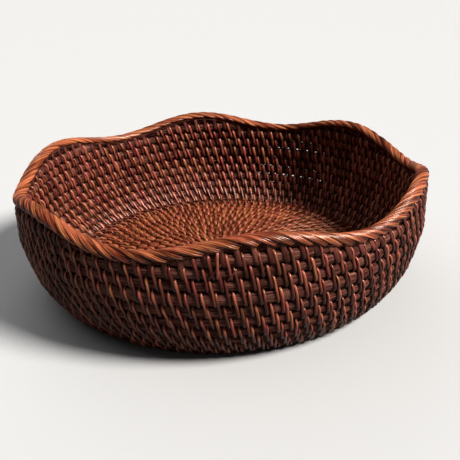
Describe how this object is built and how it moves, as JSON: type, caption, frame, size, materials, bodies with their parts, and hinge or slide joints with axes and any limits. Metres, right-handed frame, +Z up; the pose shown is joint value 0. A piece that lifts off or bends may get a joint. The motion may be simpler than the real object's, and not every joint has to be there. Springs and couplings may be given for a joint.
{
  "type": "woven fruit basket",
  "caption": "Shallow round fruit basket of dark stitched rattan coils with a flat coiled floor and a scalloped, rolled rim.",
  "frame": {"origin": "centre of the circle that the basket stands on, at the underside of the lowest wall coil", "axes": "+Z up along the bowl's axis; +X and +Y lie in the standing plane, and the rim's first scallop peaks 37.5 degrees from +X towards +Y"},
  "size_m": [0.2682, 0.2682, 0.0811],
  "materials": {
    "dark_cane": "dark stained rattan core, matt and fibrous, with glossy reddish cane stitches",
    "floor_cane": "reddish brown split cane, satin",
    "rim_cane": "orange-brown split cane, glossy varnish"
  },
  "bodies": {
    "root": {"floor_centre": "floor_cane", "floor_coil_01": "floor_cane", "floor_coil_02": "floor_cane", "floor_coil_03": "floor_cane", "floor_coil_04": "floor_cane", "floor_coil_05": "floor_cane", "floor_coil_06": "floor_cane", "floor_coil_07": "floor_cane", "floor_coil_08": "floor_cane", "floor_coil_09": "floor_cane", "floor_coil_10": "floor_cane", "floor_coil_11": "floor_cane", "floor_coil_12": "floor_cane", "floor_coil_13": "floor_cane", "heel_coil": "dark_cane", "wall_coil_01": "dark_cane", "wall_coil_02": "dark_cane", "wall_coil_03": "dark_cane", "wall_coil_04": "dark_cane", "wall_coil_05": "dark_cane", "wall_coil_06": "dark_cane", "wall_coil_07": "dark_cane", "wall_coil_08": "dark_cane", "wall_coil_09": "dark_cane", "wall_coil_10": "dark_cane", "lobe_filler_thick_1": "dark_cane", "lobe_filler_thin_1": "dark_cane", "lobe_filler_thick_2": "dark_cane", "lobe_filler_thin_2": "dark_cane", "lobe_filler_thick_3": "dark_cane", "lobe_filler_thin_3": "dark_cane", "lobe_filler_thick_4": "dark_cane", "lobe_filler_thin_4": "dark_cane", "lobe_filler_thick_5": "dark_cane", "lobe_filler_thin_5": "dark_cane", "lobe_filler_thick_6": "dark_cane", "lobe_filler_thin_6": "dark_cane", "rim_core": "rim_cane", "rim_border_1": "rim_cane", "rim_border_2": "rim_cane", "rim_border_3": "rim_cane", "rim_border_4": "rim_cane", "rim_border_5": "rim_cane", "rim_border_6": "rim_cane"}
  },
  "joints": []
}
